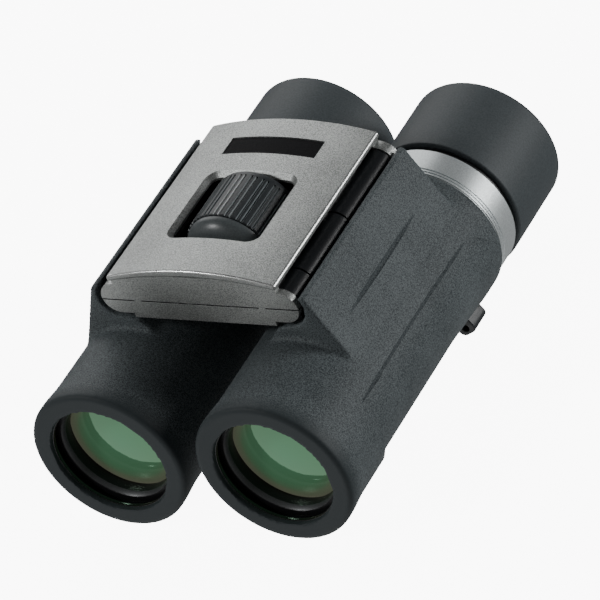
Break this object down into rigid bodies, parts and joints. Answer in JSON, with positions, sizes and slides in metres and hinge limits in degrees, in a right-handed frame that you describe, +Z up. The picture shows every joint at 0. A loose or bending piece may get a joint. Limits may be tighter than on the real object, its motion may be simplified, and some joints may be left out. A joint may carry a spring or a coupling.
{
  "type": "folding binoculars",
  "caption": "Compact folding roof-prism binoculars: rubber-clad barrels hinged under a flat bridge with a centre focus wheel, dioptre ring and twist-up eyecups.",
  "frame": {"origin": "centre of the outline seen from above, on the surface that the binoculars rest on", "axes": "+X to the user's right when looking through the eyepieces away from the body along -Y; +Y from the objectives to the eyepieces; +Z up"},
  "size_m": [0.0772, 0.111, 0.0556],
  "materials": {
    "bridge_silver": "satin silver-grey paint with a fine metallic speckle",
    "badge_black": "gloss black, blank",
    "frame_black": "satin black filled plastic",
    "pin_steel": "ground steel",
    "screw_steel": "zinc-plated steel",
    "wheel_rubber": "semi-gloss ribbed rubber",
    "wheel_cap": "smooth satin-gloss",
    "brass": "turned",
    "carriage_black": "dark anodised",
    "armour_rubber": "fine-grained dark blue-grey rubber",
    "lug_plastic": "matt",
    "anodised_black": "black anodised",
    "coated_glass": "green anti-reflection coating",
    "clear_glass": "polished",
    "ring_silver": "pearl satin silver",
    "ring_black": "matt",
    "guide_plastic": "slick acetal",
    "eyecup_rubber": "smooth soft-touch"
  },
  "bodies": {
    "bridge": {"bridge_top_cover": "bridge_silver", "badge_plate": "badge_black", "bridge_bottom_cover": "bridge_silver", "bridge_frame": "frame_black", "left_hinge_pin": "pin_steel", "right_hinge_pin": "pin_steel", "cover_screws": "screw_steel"},
    "focus_wheel": {"focus_wheel_core": "frame_black", "focus_wheel_grip": "wheel_rubber", "focus_wheel_cap": "wheel_cap", "focus_screw": "brass", "shaft_clips": "screw_steel"},
    "focus_carriage": {"focus_carriage": "carriage_black"},
    "left_barrel": {"left_housing": "frame_black", "left_strap_lug": "lug_plastic", "left_armour": "armour_rubber", "left_front_bezel": "anodised_black", "left_prism_holder": "frame_black", "left_half_penta_prism": "clear_glass", "left_roof_prism": "clear_glass", "left_ocular_tube": "anodised_black", "left_stop_ring": "ring_black", "left_trim_ring": "ring_silver", "left_eyepiece_cell": "anodised_black", "left_field_lens": "clear_glass", "left_eye_lens": "coated_glass"},
    "left_objective": {"left_objective_cell": "anodised_black", "left_objective_retainer": "anodised_black", "left_objective_crown_lens": "coated_glass", "left_objective_flint_lens": "clear_glass"},
    "left_cup_guide": {"left_eyecup_guide": "guide_plastic"},
    "left_eyecup": {"left_eyecup": "eyecup_rubber"},
    "right_barrel": {"right_housing": "frame_black", "right_strap_lug": "lug_plastic", "right_armour": "armour_rubber", "right_front_bezel": "anodised_black", "right_prism_holder": "frame_black", "right_half_penta_prism": "clear_glass", "right_roof_prism": "clear_glass", "right_ocular_tube": "anodised_black", "right_stop_ring": "ring_black"},
    "right_objective": {"right_objective_cell": "anodised_black", "right_objective_retainer": "anodised_black", "right_objective_crown_lens": "coated_glass", "right_objective_flint_lens": "clear_glass"},
    "right_cup_guide": {"right_eyecup_guide": "guide_plastic"},
    "right_eyecup": {"right_eyecup": "eyecup_rubber"},
    "right_diopter_ring": {"right_diopter_ring": "ring_silver"},
    "right_eyepiece": {"right_eyepiece_cell": "anodised_black", "right_field_lens": "clear_glass", "right_eye_lens": "coated_glass"}
  },
  "joints": [
    {"name": "left_fold", "type": "hinge", "parent": "bridge", "child": "left_barrel", "pos_m": [-0.0204, 0, 0.0446], "axis": [0, 1, 0], "range_deg": [-4, 38]},
    {"name": "right_fold", "type": "hinge", "parent": "bridge", "child": "right_barrel", "pos_m": [0.0204, 0, 0.0446], "axis": [0, -1, 0], "range_deg": [-4, 38]},
    {"name": "carriage_slide", "type": "slide", "parent": "bridge", "child": "focus_carriage", "axis": [0, 1, 0], "range_m": [-0.0012, 0.0012]},
    {"name": "focus_turn", "type": "hinge", "parent": "bridge", "child": "focus_wheel", "pos_m": [0, 0, 0.0452], "axis": [0, 1, 0], "range_deg": [-225.11, 225.11]},
    {"name": "left_objective_slide", "type": "slide", "parent": "left_barrel", "child": "left_objective", "axis": [0, 1, 0], "range_m": [-0.0012, 0.0012]},
    {"name": "left_eyecup_twist", "type": "hinge", "parent": "left_barrel", "child": "left_cup_guide", "pos_m": [-0.0204, 0, 0.0186], "axis": [0, 1, 0], "range_deg": [0, 120.06]},
    {"name": "left_eyecup_rise", "type": "slide", "parent": "left_cup_guide", "child": "left_eyecup", "axis": [0, 1, 0], "range_m": [0, 0.0075]},
    {"name": "right_objective_slide", "type": "slide", "parent": "right_barrel", "child": "right_objective", "axis": [0, 1, 0], "range_m": [-0.0012, 0.0012]},
    {"name": "right_eyecup_twist", "type": "hinge", "parent": "right_barrel", "child": "right_cup_guide", "pos_m": [0.0204, 0, 0.0186], "axis": [0, 1, 0], "range_deg": [0, 120.06]},
    {"name": "right_eyecup_rise", "type": "slide", "parent": "right_cup_guide", "child": "right_eyecup", "axis": [0, 1, 0], "range_m": [0, 0.0075]},
    {"name": "diopter_turn", "type": "hinge", "parent": "right_barrel", "child": "right_diopter_ring", "pos_m": [0.0204, 0, 0.0186], "axis": [0, 1, 0], "range_deg": [-45.02, 45.02]},
    {"name": "right_eyepiece_slide", "type": "slide", "parent": "right_barrel", "child": "right_eyepiece", "axis": [0, 1, 0], "range_m": [-0.0007, 0.0007]}
  ],
  "couplings": [
    {"joint": "focus_turn", "follows": "carriage_slide", "rad_per_m": 3272.5},
    {"joint": "left_objective_slide", "follows": "carriage_slide", "ratio": 1},
    {"joint": "left_eyecup_twist", "follows": "left_eyecup_rise", "rad_per_m": 279.25},
    {"joint": "right_objective_slide", "follows": "carriage_slide", "ratio": 1},
    {"joint": "right_eyecup_twist", "follows": "right_eyecup_rise", "rad_per_m": 279.25},
    {"joint": "diopter_turn", "follows": "right_eyepiece_slide", "rad_per_m": 1122}
  ]
}
